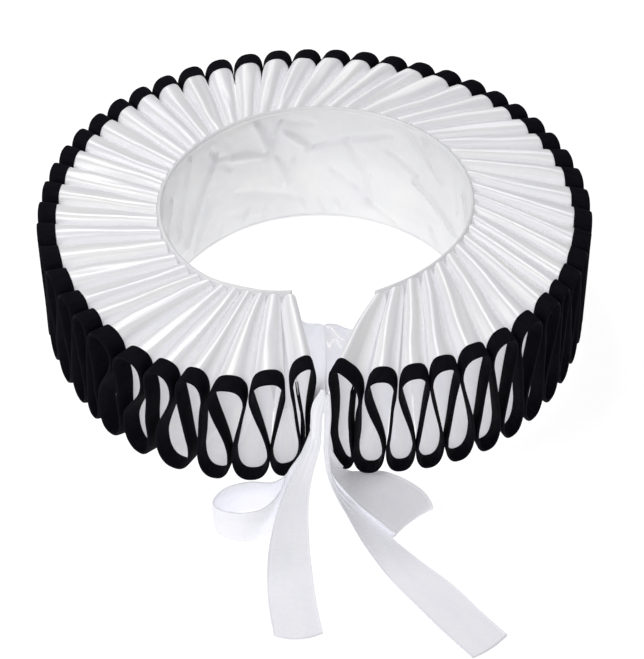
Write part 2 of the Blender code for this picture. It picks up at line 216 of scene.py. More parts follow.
def mixFinish(name, look):
    finish = bpy.data.materials.new(name)
    finish.use_nodes = True
    finish.diffuse_color = (*look["colour"], 1.0)
    tree = finish.node_tree
    shader = tree.nodes["Principled BSDF"]
    shader.inputs["Base Color"].default_value = (*look["colour"], 1.0)
    for socket, value in look["sockets"].items():
        shader.inputs[socket].default_value = value
    # on the cloth finishes this emission is painted light that lifts shade evenly, not a lamp
    if "paintedGlowAndFloorLight" in look:
        colour, strength = look["paintedGlowAndFloorLight"]
        shader.inputs["Emission Color"].default_value = (*colour, 1.0)
        shader.inputs["Emission Strength"].default_value = strength
    if "tones" in look:
        mixTones(tree, shader, *look["tones"])
    if "relief" in look:
        raiseRelief(tree, shader, look["relief"])
    return finish


satin = mixFinish("satin", satinLook)
binding = mixFinish("binding", bindingLook)
lining = mixFinish("lining", liningLook)
ribbon = mixFinish("ribbon", ribbonLook)
thread = mixFinish("thread", threadLook)
print("finishes made")


# Measures of the ring, which the pleated strip and the neck band share: millimetres, degrees, and
# loops counted from the left end

band = {"height": 65.0, "flare": 2.4, "ends": (-98.2, -428.0), "inside": 1.6}
loopColumns = ("loop", "outerDeg", "innerDeg", "edgeRadius", "neckRadius", "edgeTop",
               "edgeBottom")
loopTable = (
    (0, -92.3, -99.0, 111.4, 63.8, 67.0, 11.3),
    (1, -99.6, -105.0, 116.8, 65.2, 63.2, 11.3),
    (2, -107.2, -109.8, 120.5, 66.2, 60.4, 10.8),
    (3, -114.9, -114.8, 121.5, 66.8, 61.2, 10.4),
    (4, -121.3, -119.5, 121.5, 67.6, 59.8, 9.2),
    (5, -127.8, -124.2, 121.0, 68.6, 58.8, 8.8),
    (6, -136.5, -129.5, 120.5, 69.3, 60.6, 9.6),
    (8, -148.8, -141.2, 119.3, 69.2, 62.4, 11.3),
    (12, -180.2, -171.0, 118.0, 67.6, 62.6, 11.3),
    (16, -207.3, -199.0, 118.8, 66.9, 62.6, 11.3),
    (20, -234.7, -225.5, 120.0, 67.2, 62.6, 11.3),
    (24, -262.3, -251.0, 120.0, 69.2, 62.6, 11.3),
    (28, -289.4, -276.5, 120.0, 70.3, 62.6, 11.3),
    (32, -316.6, -303.0, 119.6, 70.8, 62.6, 11.3),
    (36, -342.9, -330.0, 119.0, 70.8, 62.6, 11.3),
    (40, -372.5, -357.5, 119.4, 70.2, 63.0, 11.3),
    (44, -398.2, -381.6, 121.0, 69.3, 66.0, 10.0),
    (46, -411.1, -393.6, 121.0, 68.4, 65.4, 8.9),
    (48, -424.6, -406.4, 119.0, 67.9, 63.2, 10.0),
    (49, -430.5, -413.2, 117.5, 67.9, 61.8, 11.0),
    (50, -437.4, -420.6, 115.3, 68.0, 61.8, 11.3),
    (51, -444.8, -427.4, 112.2, 68.4, 64.5, 11.3),
)

# The pleated strip

# the strip's two free ends turn back under the last top loops: centre, half width and lean in
# loops, each at the band and at the outer edge, and the lowest points and the stop in height
leftEnd = {"centre": (-0.13, -0.08), "half": (0.105, 0.075), "lean": (0.10, 0.14),
           "bottoms": (12.0, 20.0), "stop": 54.0, "depth": 9.0, "skew": 0.0}
rightEnd = {"centre": (51.09, 51.02), "half": (0.15, 0.26), "lean": (-0.03, -0.03),
            "bottoms": (3.5, 13.2), "stop": 55.0, "depth": 17.0, "skew": -0.55}
# loops that sit unevenly: centre and half width at the band, the same at the outer edge, and how
# far one side of the turn rises there
unevenLoops = {
    0.0: ((0.045, 0.42), (-0.02, 0.32), -1.5), 0.5: ((0.51, 0.40), (0.47, 0.41), 0.0),
    1.0: ((1.0, None), (0.935, 0.43), 0.0), 1.5: ((1.5, None), (1.39, 0.445), 0.0),
    2.0: ((2.0, None), (1.94, 0.43), 0.0), 2.5: ((2.5, None), (2.33, 0.385), 0.0),
    3.0: ((3.0, None), (2.90, 0.36), 0.0), 3.5: ((3.5, None), (3.53, 0.56), 0.0),
    4.0: ((4.0, None), (3.93, 0.48), 0.0), 4.5: ((4.5, None), (4.85, 0.43), 0.0),
    5.5: ((5.5, None), (5.79, 0.38), 0.0), 6.5: ((6.5, None), (6.58, 0.32), 0.0),
    42.0: ((42.0, None), (42.04, 0.46), 0.0), 43.0: ((43.0, None), (42.97, 0.28), 0.0),
    44.0: ((44.0, None), (43.81, 0.42), 0.0), 45.0: ((45.0, None), (44.92, 0.49), 0.0),
    45.5: ((45.5, None), (45.49, 0.42), 0.0), 46.5: ((46.5, None), (46.44, 0.39), 0.0),
    47.5: ((47.5, None), (47.40, 0.43), 0.0), 48.5: ((48.5, None), (48.41, 0.45), 0.0),
    49.5: ((49.5, None), (49.36, 0.395), 0.0), 50.0: ((50.0, None), (49.97, 0.395), 0.0),
    50.5: ((50.40, 0.35), (50.26, 0.395), 0.0), 51.0: ((50.97, 0.395), (50.92, 0.395), 5.5),
}

pleats = {
    "loops": 52, "bindingWidth": 8.2, "innerTop": 64.2, "innerBottom": 1.8,
    "topDepth": 9.0, "bottomDepth": 12.6, "aspect": 2.0, "squareness": (1.15, 1.25),
    "crestShift": 0.22,           # of a loop's half width, towards the left at the band
    "bodies": (0.5, 1.25),        # thickness at the band and at the bound edge
    "touch": 0.12,                # what is left between neighbouring loops
    "turn": (200.0, -20.0),       # degrees that a turn covers
    "tuck": 0.6,                  # how far the strip reaches into its seam at the band
    # hidden loops stray a little: share of a loop, rise in mm for it, and the loops where it
    # comes in and fades
    "stray": 0.02, "strayRise": 25.0, "strayStart": (6.0, 9.0), "strayEnd": (42.0, 39.0),
    "strayChange": 1.7, "strayOffset": 8.0,       # how quickly it changes, and where it begins
    # the cloth, in metres where it is cut and mm elsewhere
    "cut": (0.047, 6.8), "wall": 0.5, "turnSteps": 26, "legSteps": 7, "across": 12,
    "edgeLine": 0.15,             # first line beside the seam, from which the satin is smooth
    "underBinding": 3.0,          # satin inside the binding
    # how far a pleat wanders sideways on its way out, left and right, between which loops the
    # one becomes the other, and how quickly it changes: round the ring, outwards and upwards
    "sway": (0.7, 1.1), "swayLoops": (22.0, 34.0), "swayChange": (0.55, 1.6, 12.0),
    "swayRun": 1.1,               # above 1 it is over before the outer edge
    # soft ridges and troughs along a top loop: place across the turn from -1 to 1, height in mm,
    # half width, and where they start and stop on the way from the band to the outer edge
    "topCreases": (
        (-0.55, 0.42, 0.17, 0.04, 0.78), (0.02, -0.40, 0.12, 0.18, 1.00),
        (0.50, 0.36, 0.20, 0.00, 0.66), (-0.30, 0.45, 0.14, 0.10, 0.92),
        (0.26, 0.34, 0.16, 0.30, 1.00), (-0.66, -0.45, 0.13, 0.00, 0.60),
        (-0.12, -0.30, 0.10, 0.35, 1.00), (0.60, -0.40, 0.14, 0.10, 0.85),
        (0.20, 0.44, 0.15, 0.00, 0.72), (-0.42, -0.32, 0.11, 0.22, 0.96),
        (0.06, 0.40, 0.18, 0.06, 0.86), (0.44, -0.36, 0.12, 0.26, 1.00),
        (-0.20, 0.38, 0.13, 0.00, 0.58),
    ),
    # the same under a bottom loop, with the pressed line down its middle
    "bottomCreases": (
        (0.00, -0.30, 0.06, 0.40, 0.80), (-0.45, -0.40, 0.20, 0.10, 0.74),
        (0.52, 0.30, 0.24, 0.20, 0.90), (0.05, -0.28, 0.06, 0.52, 0.84),
        (0.35, -0.38, 0.18, 0.00, 0.70), (-0.60, 0.30, 0.20, 0.15, 0.80),
        (-0.06, -0.32, 0.06, 0.34, 0.72), (-0.30, 0.26, 0.22, 0.30, 0.95),
        (0.62, -0.30, 0.16, 0.05, 0.60),
    ),
    "creasesEach": 3,             # to a loop
    "creaseLift": 1.5, "creasePower": 1.6, "creaseFade": 0.10,
    # every top loop also comes to a crest: loop, place across, height and half width
    "crests": (
        (0, -0.1, 0.0, 0.30), (3, -0.2, 0.7, 0.30), (10, -0.35, 0.8, 0.30), (26, -0.4, 0.9, 0.30),
        (34, -0.1, 0.8, 0.30), (40, 0.2, 0.9, 0.30), (49, 0.2, 0.9, 0.28), (51, 0.3, 0.4, 0.28),
    ),
    # how far a crest or a crease wanders across its loop, and how quickly: from turn to turn and
    # on the way out
    "crestWander": 0.22, "crestChange": (2.3, 1.5),
    "creaseWander": 0.12, "creaseChange": (3.7, 2.0),
    # creases lie flat at the bound edge and on the strip's first turns
    "flatEdge": (0.98, 0.66), "flatTurns": (0.0, 6.0),
}


def loopValue(column, u):
    index = loopColumns.index(column)
    rows = loopTable
    i = 0
    while i < len(rows) - 2 and u > rows[i + 1][0]:
        i += 1
    (u0, v0), (u1, v1) = ((rows[j][0], rows[j][index]) for j in (i, i + 1))
    slope = []
    for j in (i, i + 1):
        before, after = rows[max(j - 1, 0)], rows[min(j + 1, len(rows) - 1)]
        slope.append((after[index] - before[index]) / (after[0] - before[0]))
    t, span = (u - u0) / (u1 - u0), u1 - u0
    if t <= 0.0:
        return v0 + slope[0] * (u - u0)
    if t >= 1.0:
        return v1 + slope[1] * (u - u1)
    return (v0 * (1 + 2 * t) * (1 - t) ** 2 + slope[0] * span * t * (1 - t) ** 2
            + v1 * t * t * (3 - 2 * t) + slope[1] * span * t * t * (t - 1))


def pitch(u, end):
    # width of a loop; end is 0 at the band and 1 at the outer edge
    column, radius = (("innerDeg", "neckRadius"), ("outerDeg", "edgeRadius"))[end]
    degrees = loopValue(column, u - 0.25) - loopValue(column, u + 0.25)
    return 2.0 * math.radians(degrees) * loopValue(radius, u)


def slant(u, end):
    # how much more room a wall takes round the ring where its pleat leans
    lean = math.radians(loopValue("outerDeg", u) - loopValue("innerDeg", u))
    edge = loopValue("edgeRadius", u)
    offRadius = math.atan2(edge * math.sin(lean),
                           edge * math.cos(lean) - loopValue("neckRadius", u))
    return 1.0 / math.cos(offRadius - end * lean)


def halfWidth(u, end):
    wall = pleats["bodies"][end] * slant(u, end)
    return 0.5 - (wall + pleats["touch"]) / (2.0 * pitch(u, end))


def turnPoints(centre, half, extreme, sign, end, tilt=0.0, skew=0.0, depth=0.0):
    # one loop's points (place along the strip, height), over the top or under the bottom; a
    # skewed one has its highest or lowest place off the middle
    most = pleats["topDepth" if sign > 0.0 else "bottomDepth"]
    depth = depth or min(most, pleats["aspect"] * half * pitch(centre, end))
    middle = extreme - sign * (depth + pleats["bodies"][end] / 2.0)
    flat = 1.0 / pleats["squareness"][end]
    points = []
    for step in range(pleats["turnSteps"] + 1):
        angle = math.radians(between(*pleats["turn"], step / pleats["turnSteps"]))
        aside, up = math.cos(angle), math.sin(angle)
        if up > 0.0:
            aside, up = math.copysign(abs(aside) ** flat, aside), up ** flat
            aside += skew * up * up * (3.0 - 2.0 * up)
        points.append((centre + half * aside, middle + sign * depth * up + tilt * aside))
    return points


def legPoints(before, after, end):
    # the run from one turn to the next, leaving each the way it was going
    wide = pitch((before[-1][0] + after[0][0]) / 2.0, end)
    start = Vector((before[-1][0] * wide, before[-1][1]))
    stop = Vector((after[0][0] * wide, after[0][1]))
    leave = arrive = stop - start
    if len(before) > 1:
        leave = Vector(((before[-1][0] - before[-2][0]) * wide, before[-1][1] - before[-2][1]))
    if len(after) > 1:
        arrive = Vector(((after[1][0] - after[0][0]) * wide, after[1][1] - after[0][1]))
    reach = (stop - start).length
    leave, arrive = leave.normalized() * reach, arrive.normalized() * reach
    points = []
    for step in range(1, pleats["legSteps"]):
        t = step / pleats["legSteps"]
        spot = (start * (1 + 2 * t) * (1 - t) ** 2 + leave * t * (1 - t) ** 2
                + stop * t * t * (3 - 2 * t) + arrive * t * t * (t - 1))
        points.append((spot.x / wide, spot.y))
    return points


def freeEnd(row, side, end):
    shape = {"skew": row["skew"], "depth": row["depth"]} if end else {}
    turn = turnPoints(row["centre"][end], row["half"][end], row["bottoms"][end], -1.0, end,
                      **shape)[::-1]
    tip = [(row["centre"][end] + side * row["half"][end] + row["lean"][end], row["stop"])]
    return [tip, turn] if side > 0 else [turn, tip]


def topTurn(u, centre, half, end, stray, tilt):
    top = (pleats["innerTop"], loopValue("edgeTop", u) + pleats["strayRise"] * stray)[end]
    skew = pleats["crestShift"] * (1.0 - end) * math.sin(math.radians(loopValue("outerDeg", u)))
    return turnPoints(centre, half, top, 1.0, end, tilt * end, skew)


def bottomTurn(u, centre, half, end):
    lowest = (pleats["innerBottom"], loopValue("edgeBottom", u))[end]
    return turnPoints(centre, half, lowest, -1.0, end)


def loopTurns(end):
    turns = freeEnd(leftEnd, 1, end)
    for step in range(2 * pleats["loops"] - 1):
        u = step / 2.0
        stray = pleats["stray"] * wander(u * pleats["strayChange"], pleats["strayOffset"])
        stray *= ease(*pleats["strayStart"], u) * ease(*pleats["strayEnd"], u)
        *places, tilt = unevenLoops.get(u, ((u, None), (u + end * stray, None), 0.0))
        centre, half = places[end]
        half = half or halfWidth(centre, end)
        if u == int(u):
            turns.append(topTurn(u, centre, half, end, stray, tilt))
        else:
            turns.append(bottomTurn(u, centre, half, end))
    return turns + freeEnd(rightEnd, -1, end)


def stripPath(end):
    # every point with its turn's number and its place across the turn; top loops have even numbers
    points = []
    turns = loopTurns(end)
    for number, turn in enumerate(turns):
        if points:
            for step, spot in enumerate(legPoints(turns[number - 1], turn, end)):
                t = (step + 1) / pleats["legSteps"]
                across = 1.0 + 2.0 * t if t < 0.5 else 2.0 * t - 3.0
                points.append((*spot, number - (t < 0.5), across))
        for step, spot in enumerate(turn):
            points.append((*spot, number, between(-1.0, 1.0, step / pleats["turnSteps"])))
    return points


def pleatLines():
    # each pleat line runs from the band to the outer edge
    lines = []
    for (uIn, zIn, number, across), (uOut, zOut, *rest) in zip(stripPath(0), stripPath(1)):
        foot = band["flare"] * (1.0 - zIn / band["height"]) - pleats["tuck"]
        inner = around(loopValue("neckRadius", uIn) + foot, loopValue("innerDeg", uIn), zIn)
        outer = around(loopValue("edgeRadius", uOut), loopValue("outerDeg", uOut), zOut)
        lines.append((inner, outer, uIn, uOut, number, across))
    return lines


lines = pleatLines()


def crest(u):
    rows = pleats["crests"]
    i = 0
    while i < len(rows) - 2 and u > rows[i + 1][0]:
        i += 1
    t = ease(rows[i][0], rows[i + 1][0], u)
    return [between(a, b, t) for a, b in zip(rows[i][1:], rows[i + 1][1:])]


def creaseHeight(number, across, t):
    # in mm; the number of its turn gives each pleat a drift of its own
    isTop = number % 2 == 0
    rows = pleats["topCreases" if isTop else "bottomCreases"]
    height = 0.0
    if isTop:
        place, depth, width = crest(number / 2.0 - 1.0)
        turnToTurn, outwards = pleats["crestChange"]
        place += pleats["crestWander"] * wander(number * turnToTurn, t * outwards)
        height = depth * math.exp(-((across - place) / width) ** 2)
    fade, each = pleats["creaseFade"], pleats["creasesEach"]
    turnToTurn, outwards = pleats["creaseChange"]
    for k in range(each):
        place, depth, width, start, stop = rows[(each * (number // 2) + k) % len(rows)]
        place += pleats["creaseWander"] * wander(number * turnToTurn + k, t * outwards)
        depth *= ease(start - fade, start + fade, t) * ease(stop + fade, stop - fade, t)
        away = abs((across - place) / width)
        height += pleats["creaseLift"] * depth * math.exp(-away ** pleats["creasePower"])
    return height


def plainPoint(i, t):
    # a point on the pleats' middle surface: t is 0 at the band and 1 at the outer edge
    inner, outer, uIn, uOut = lines[i][:4]
    spot = inner.lerp(outer, t)
    u = between(uIn, uOut, t)
    sway = between(*pleats["sway"], ease(*pleats["swayLoops"], u))
    roundRing, outwards, upwards = pleats["swayChange"]
    drift = wander(u * roundRing, t * outwards, spot.z * upwards)
    sway *= math.sin(math.pi * min(1.0, t * pleats["swayRun"])) * drift
    side = Vector((neckMiddle[1] * mm - spot.y, spot.x - neckMiddle[0] * mm, 0.0)).normalized()
    return spot + side * sway * mm


def pleatNormal(i, t):
    near = 0.02
    along = plainPoint(min(len(lines) - 1, i + 1), t) - plainPoint(max(0, i - 1), t)
    across = plainPoint(i, min(1.0, t + near)) - plainPoint(i, max(0.0, t - near))
    return along.cross(across).normalized()


def pleatPoint(i, t):
    number, across = lines[i][4:]
    lift = creaseHeight(number, across, t)
    lift *= ease(*pleats["flatEdge"], t) * ease(*pleats["flatTurns"], number)
    out = 1.0 if number % 2 == 0 else -1.0
    return plainPoint(i, t) + pleatNormal(i, t) * out * lift * mm


def satinTimes(i):
    run = (lines[i][1] - lines[i][0]).length / mm
    border = 1.0 - (pleats["bindingWidth"] - pleats["underBinding"]) / run
    count = pleats["across"]
    edge = pleats["edgeLine"] / run
    return [0.0, edge] + [between(edge, border, step / (count - 1)) for step in range(1, count)]


def satinPoint(i, j):
    return pleatPoint(i, satinTimes(i)[j])


satinPleats = sewSheet("satin_pleats", len(lines) - 1, pleats["across"], satinPoint,
                       pleats["cut"], pleats["wall"], satin)
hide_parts("ruff")
print("pleats laid")

edging = {
    "wall": 0.3, "cut": (0.0175, 6.1),
    # distance in from the outer edge and off the middle, from one border round to the fold
    "fold": ((8.2, 0.41), (8.0, 0.44), (6.0, 0.47), (3.0, 0.48), (1.0, 0.46), (0.35, 0.28),
             (0.2, 0.0)),
}


def bindingPoint(i, j):
    fold = edging["fold"]
    last = len(fold) - 1
    inward, off = fold[j] if j <= last else fold[2 * last - j]
    if j > last:
        off = -off
    run = (lines[i][1] - lines[i][0]).length / mm
    t = 1.0 - inward / run
    return pleatPoint(i, t) + pleatNormal(i, t) * off * mm


edgeBinding = sewSheet("edge_binding_cloth", len(lines) - 1, 2 * (len(edging["fold"]) - 1),
                       bindingPoint, edging["cut"], edging["wall"], binding)
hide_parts("edge_binding")
print("binding folded")


# The neck band

bandCloth = {
    "stations": 420, "wallSteps": 52, "halvings": 24, "wall": 0.7, "cut": (0.073, 0.40),
    # out from the middle and height: a hem turned to the outside, the foot with a seam line just
    # above it, then up the wall and over the rolled top edge
    "foot": (
        (0.7, 3.4), (0.72, 2.2), (0.7, 1.3), (0.58, 0.7), (0.3, 0.42), (0.05, 0.55), (-0.02, 1.0),
        (0.0, 1.5), (0.22, 1.75), (0.02, 2.0),
    ),
    "top": (
        (0.1, 62.6), (0.35, 63.3), (0.4, 64.0), (0.1, 64.55), (-0.4, 64.5), (-0.68, 64.0),
        (-0.68, 63.4), (-0.55, 62.9), (-0.25, 62.6),
    ),
    # crumpled folds: degrees and height of both ends, height off the wall (in below 0) and half
    # width in mm
    "folds": (
        (-229, 52, -209, 12, -1.1, 3.2), (-224, 30, -216, 4, 0.8, 4.0),
        (-213, 60, -203, 22, -0.9, 3.0), (-226, 56, -236, 40, 0.8, 4.5),
        (-231, 47, -252, 40, -0.9, 3.4), (-252, 40, -258, 58, 1.0, 5.0),
        (-246, 62, -252, 44, -1.3, 4.5), (-258, 58, -270, 56, 0.9, 3.5),
        (-259, 52, -269, 42, -1.0, 3.0), (-255, 38, -260, 22, -1.2, 4.2),
        (-262, 36, -258, 24, -1.0, 2.6), (-268, 41, -301, 55, 0.9, 3.2),
        (-283, 47, -292, 28, 1.0, 4.2), (-291, 28, -292, 12, 0.8, 3.2),
        (-290, 14, -305, 2, 0.9, 2.6), (-299, 46, -313, 38, 0.9, 3.0),
        (-316, 62, -327, 43, -1.4, 3.2), (-309, 60, -320, 48, 1.1, 3.6),
        (-312, 34, -337, 21, -1.4, 3.4), (-333, 62, -338, 36, 0.8, 3.6),
        (-277, 30, -287, 20, 0.7, 3.4), (-265, 12, -268, 3, -0.6, 1.6),
        (-272, 13, -275, 3, 0.6, 1.6), (-278, 12, -281, 4, -0.6, 1.6),
        (-284, 11, -283, 3, 0.6, 1.6), (-244, 12, -241, 3, -0.6, 1.8),
        (-251, 13, -250, 4, 0.6, 1.8), (-231, 10, -229, 2, 0.5, 2.0),
        (-320, 12, -324, 3, -0.8, 2.2), (-238, 24, -262, 14, 0.6, 6.0),
        # round the front, where only a little of the inside shows
        (-196, 50, -184, 22, -1.0, 3.4), (-188, 58, -170, 46, 0.9, 3.6),
        (-172, 36, -160, 12, -1.1, 3.4), (-164, 56, -150, 34, 0.9, 4.0),
        (-146, 50, -132, 30, -1.0, 3.4), (-138, 20, -122, 36, 0.8, 3.6),
        (-120, 54, -108, 26, -0.9, 3.2), (-346, 54, -358, 30, -1.1, 3.4),
        (-352, 22, -366, 42, 0.9, 3.6), (-368, 58, -380, 40, -0.9, 3.4),
        (-376, 30, -390, 12, 1.0, 3.8), (-392, 56, -402, 28, -1.0, 3.2),
        (-406, 16, -414, 44, 0.8, 3.4), (-412, 58, -424, 40, -0.8, 3.0),
    ),
    "degreeArc": 1.2,                                  # mm round the wall for one degree
    "foldLift": 1.7, "foldTaper": 0.55, "foldPower": 1.4, "foldReach": 24.0,
    # slow and quick dents: depth, how quickly they change round the wall and up it, and shift
    "dents": ((0.7, 0.09, 0.07, -0.6), (0.3, 0.3, 0.22, 0.0)),
    # heights where dents and folds come in above the foot and end below the rim
    "dentEase": ((2.0, 10.0), (63.5, 58.0)), "foldEase": ((1.0, 5.0), (63.5, 59.5)),
}


def bandRadius(degrees):
    low, high = 0.0, pleats["loops"] - 1.0
    for halving in range(bandCloth["halvings"]):
        u = (low + high) / 2.0
        low, high = (u, high) if loopValue("innerDeg", u) > degrees else (low, u)
    return loopValue("neckRadius", low) - band["inside"]


def bandSection():
    foot, top, steps = bandCloth["foot"], bandCloth["top"], bandCloth["wallSteps"]
    (footOut, footZ), (topOut, topZ) = foot[-1], top[0]
    wall = [(between(footOut, topOut, s / steps), between(footZ, topZ, s / steps))
            for s in range(1, steps)]
    return list(foot) + wall + list(top)


bandProfile = bandSection()
bandDegrees = [between(*band["ends"], s / bandCloth["stations"])
               for s in range(bandCloth["stations"] + 1)]
bandRadii = [bandRadius(degrees) for degrees in bandDegrees]


def bandFold(degrees, z):
    height, arc = 0.0, bandCloth["degreeArc"]
    for first, low, second, high, lift, width in bandCloth["folds"]:
        if abs(degrees - (first + second) / 2.0) > bandCloth["foldReach"]:
            continue
        spot, start = Vector((degrees * arc, z)), Vector((first * arc, low))
        run = Vector((second * arc, high)) - start
        t = min(1.0, max(0.0, (spot - start).dot(run) / run.length_squared))
        taper = between(1.0, bandCloth["foldTaper"], abs(2.0 * t - 1.0))
        away = (spot - start - run * t).length / (width * taper)
        height += bandCloth["foldLift"] * lift * max(0.0, 1.0 - away) ** bandCloth["foldPower"]
    return height


def bandPoint(i, j):
    out, z = bandProfile[j]
    degrees = bandDegrees[i]
    dent = 0.0
    for depth, roundWall, upWall, shift in bandCloth["dents"]:
        dent += depth * (wander(degrees * roundWall, z * upWall) + shift)
    foot, rim = bandCloth["dentEase"]
    dent *= ease(*foot, z) * ease(*rim, z)
    foot, rim = bandCloth["foldEase"]
    dent += bandFold(degrees, z) * ease(*foot, z) * ease(*rim, z)
    out += band["flare"] * (1.0 - z / band["height"]) + dent
    return around(bandRadii[i] + out, degrees, z)


neckBand = sewSheet("neck_band_cloth", bandCloth["stations"], len(bandProfile) - 1, bandPoint,
                    bandCloth["cut"], bandCloth["wall"], lining)
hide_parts("neck_band")
print("neck band made")


# The ribbons: each has the length cut in metres, how it is held, how far it cups across and how
# far its cut end bulges in mm, and its rows. A row is a cross-section, x, y, z of one edge and
# then of the other, from the neck's middle

ribbons = {
    "tie_left": {
        "length": 0.0645, "held": "stretched", "cup": 0.5, "endBulge": 0.0,
        "rows": (
            (-15.0, -59.5, 33.8, -15.0, -59.5, 50.8),
            (-10.4, -60.1, 33.8, -10.4, -60.1, 50.8),
            (-7.0, -61.8, 34.4, -6.8, -61.6, 50.6),
            (-5.6, -67.0, 36.6, -2.6, -64.2, 50.0),
            (-4.8, -73.0, 38.8, 3.5, -65.4, 50.2),
            (-3.8, -81.0, 41.0, 4.1, -73.0, 51.0),
            (-2.3, -90.0, 43.4, 4.3, -84.0, 52.2),
            (-0.9, -99.0, 45.2, 4.2, -97.0, 53.0),
            (-0.6, -108.0, 46.2, 4.0, -107.0, 53.2),
            (0.2, -114.6, 46.6, 3.4, -114.6, 53.2),
        ),
    },
    "tie_right": {
        "length": 0.073, "held": "stretched", "cup": 0.5, "endBulge": 0.0,
        "rows": (
            (29.8, -58.3, 27.5, 29.8, -58.3, 44.0),
            (26.1, -60.0, 27.5, 26.1, -60.0, 44.0),
            (21.4, -61.8, 28.0, 21.4, -61.7, 44.2),
            (16.0, -64.6, 30.0, 14.2, -62.9, 45.4),
            (11.5, -68.6, 33.0, 9.4, -64.0, 49.0),
            (9.0, -75.0, 36.5, 4.6, -68.4, 52.6),
            (7.6, -83.0, 40.0, 4.5, -76.0, 53.2),
            (6.4, -92.0, 43.0, 4.6, -87.0, 53.2),
            (5.3, -102.0, 45.4, 4.4, -99.0, 53.4),
            (3.9, -114.2, 46.6, 3.9, -114.2, 53.2),
        ),
    },
    "tail_left": {
        "length": 0.088, "held": "draped", "cup": -0.6, "endBulge": 2.3,
        "rows": (
            (-2.2, -119.2, 39.5, 2.2, -119.2, 39.5),
            (-4.2, -121.2, 33.6, 1.7, -121.2, 34.2),
            (-9.4, -126.6, 24.4, -1.2, -125.8, 24.0),
            (-14.8, -135.2, 15.4, -2.8, -134.0, 14.4),
            (-18.2, -144.6, 5.8, -2.6, -144.4, 5.0),
            (-19.2, -154.0, 1.0, -1.6, -155.0, 1.0),
            (-19.0, -164.0, 0.4, -0.6, -165.0, 0.4),
            (-18.2, -174.0, 0.4, 0.6, -175.0, 0.4),
            (-16.2, -187.2, 0.4, 2.4, -186.0, 0.4),
        ),
    },
    "tail_right": {
        "length": 0.138, "held": "draped", "cup": -0.5, "endBulge": 1.0,
        "rows": (
            (3.6, -116.9, 58.6, 5.8, -116.3, 58.6),
            (3.7, -118.0, 49.0, 6.2, -117.2, 49.0),
            (3.5, -119.4, 40.0, 5.7, -119.0, 40.0),
            (3.6, -121.6, 31.0, 5.4, -121.2, 31.4),
            (5.2, -124.0, 20.5, 6.8, -123.4, 20.2),
            (8.0, -127.0, 13.6, 11.4, -124.6, 12.0),
            (12.4, -131.4, 6.8, 20.0, -127.0, 5.0),
            (18.6, -141.6, 1.6, 30.4, -138.2, 0.7),
            (27.8, -158.0, 0.4, 41.2, -150.4, 0.4),
            (38.8, -173.6, 0.4, 52.8, -162.6, 0.4),
            (48.4, -186.6, 0.4, 62.4, -175.6, 0.4),
            (58.2, -198.8, 0.4, 72.0, -187.8, 0.4),
        ),
    },
    "bow_left": {
        "length": 0.13, "held": "folded", "cup": 0.5, "endBulge": 0.0,
        "rows": (
            (1.0, -115.7, 39.5, -1.4, -115.7, 39.5),
            (-2.2, -116.0, 26.5, -4.4, -115.8, 29.8),
            (-7.4, -118.0, 11.0, -9.0, -119.0, 21.4),
            (-15.2, -120.4, 1.8, -16.0, -124.4, 19.0),
            (-26.0, -121.2, 0.4, -26.5, -126.0, 20.6),
            (-35.6, -124.6, 0.4, -35.8, -128.4, 19.4),
            (-39.8, -131.0, 0.8, -40.2, -132.4, 16.6),
            (-36.9, -135.6, 0.4, -37.0, -136.8, 16.4),
            (-29.6, -138.4, 0.4, -28.4, -139.4, 17.4),
            (-20.6, -136.2, 0.8, -20.0, -136.8, 17.6),
            (-12.2, -130.2, 5.4, -14.0, -130.0, 19.4),
            (-6.2, -124.4, 15.0, -10.6, -123.0, 24.0),
            (-2.0, -120.4, 27.4, -5.4, -119.8, 30.6),
            (1.0, -117.6, 39.5, -1.4, -117.6, 39.5),
        ),
    },
    "bow_right": {
        "length": 0.143, "held": "folded", "cup": -0.8, "endBulge": 0.0,
        "rows": (
            (4.6, -117.2, 43.0, 5.6, -116.4, 43.0),
            (5.0, -118.6, 31.0, 6.6, -116.4, 29.0),
            (6.0, -121.0, 21.0, 12.6, -110.0, 11.4),
            (10.9, -122.6, 13.0, 18.2, -109.4, 9.4),
            (18.0, -127.0, 7.0, 27.4, -109.1, 9.1),
            (24.8, -132.0, 4.4, 36.4, -114.4, 9.6),
            (29.8, -136.6, 3.2, 43.6, -120.8, 8.8),
            (31.8, -136.6, 2.2, 46.8, -125.2, 5.0),
            (29.8, -137.6, 1.0, 44.0, -122.4, 0.9),
            (25.4, -131.4, 0.4, 38.0, -115.8, 0.4),
            (21.0, -120.4, 0.5, 29.0, -104.4, 0.6),
            (13.6, -117.8, 2.6, 17.0, -103.6, 3.4),
            (6.8, -118.2, 12.0, 7.6, -114.9, 14.0),
            (4.8, -116.6, 24.0, 6.8, -114.6, 27.0),
            (3.9, -115.4, 39.5, 5.3, -114.6, 39.5),
        ),
    },
}

ribbonCloth = {
    "steps": 8, "near": 0.05, "wall": 0.55, "lift": 0.3, "wide": 0.0175,
    "across": (0.0, 0.012, 0.03, 0.05, 0.075, 0.12, 0.2, 0.28, 0.36, 0.44, 0.5, 0.56, 0.64, 0.72,
               0.8, 0.88, 0.925, 0.95, 0.97, 0.988, 1.0),
    "cupWidth": 10.0,                                  # full cup from this width on, mm
    # bunched where it narrows: height of its waves and the widths, mm, and half waves across
    "gather": 0.35, "gatherWidths": (11.0, 3.0), "gatherWaves": 6.0,
    # the woven edge: its rise and groove in mm, where it rises, and the groove's place and width
    "selvage": 0.10, "selvageRise": (0.93, 0.97), "selvageGroove": (0.9, 0.06),
}


def ribbonEdges(table, place):
    # the two edges of a ribbon at any place along its table
    values = rowValues(table, place)
    spots = []
    for x, y, z in (values[:3], values[3:]):
        z = max(z, ribbonCloth["lift"])
        spots.append(Vector((x + neckMiddle[0], y + neckMiddle[1], z)) * mm)
    return spots


